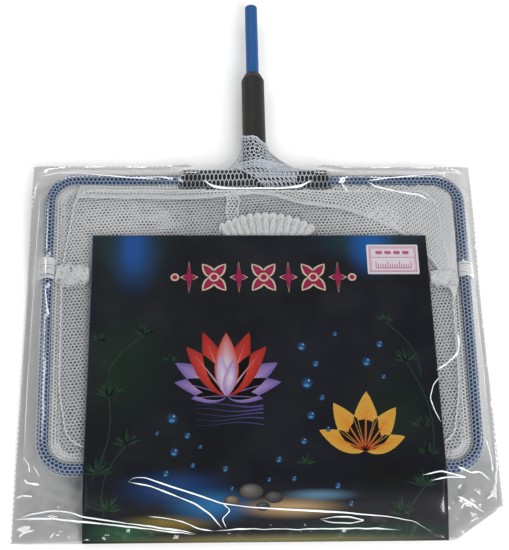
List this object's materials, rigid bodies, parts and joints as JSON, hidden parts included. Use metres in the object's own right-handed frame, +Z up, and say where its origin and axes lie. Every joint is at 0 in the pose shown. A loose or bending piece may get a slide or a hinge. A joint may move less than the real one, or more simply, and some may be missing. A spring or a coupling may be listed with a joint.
{
  "type": "aquarium fish net",
  "caption": "Small aquarium fish net: mesh bag on a tube-covered wire frame with a rod handle, folded flat with a card inside a clear film bag.",
  "frame": {"origin": "on the surface the bag lies on, under the centre of the wire frame", "axes": "+X to the right across the frame, +Y up the handle towards its free tip, +Z up from the surface"},
  "size_m": [0.1065, 0.1417, 0.0076],
  "materials": {
    "steel_wire": "drawn galvanised wire",
    "blue_tube": "smooth extruded PVC",
    "black_vinyl": "satin moulded PVC",
    "white_mesh": "knitted nylon mesh",
    "white_thread": "sewing thread",
    "clear_film": "clear polypropylene film",
    "printed_card": "coated card, printed dark",
    "label_paper": "paper label"
  },
  "bodies": {
    "net": {"frame_wire": "steel_wire", "frame_tube": "blue_tube", "tee_moulding": "black_vinyl", "crimp_ferrule": "steel_wire", "neck_sleeve": "black_vinyl", "handle_core": "steel_wire", "handle_tube": "blue_tube", "net_hem": "white_mesh", "hem_seam": "white_thread", "hem_flap": "white_mesh", "net_top_layer": "white_mesh", "net_under_layer": "white_mesh", "bottom_gather": "white_mesh", "seam_tail": "white_thread", "side_seam_left": "white_thread", "side_seam_right": "white_thread", "neck_wrap": "white_mesh"},
    "film_bag": {"bag_front_film": "clear_film", "bag_back_film": "clear_film"},
    "card": {"insert_card": "printed_card", "size_sticker": "label_paper"}
  },
  "joints": [
    {"name": "bag_slide", "type": "slide", "parent": "net", "child": "film_bag", "axis": [0, 1, 0], "range_m": [0, 0.145]},
    {"name": "card_slide", "type": "slide", "parent": "net", "child": "card", "axis": [0, -1, 0], "range_m": [0, 0.1]}
  ]
}
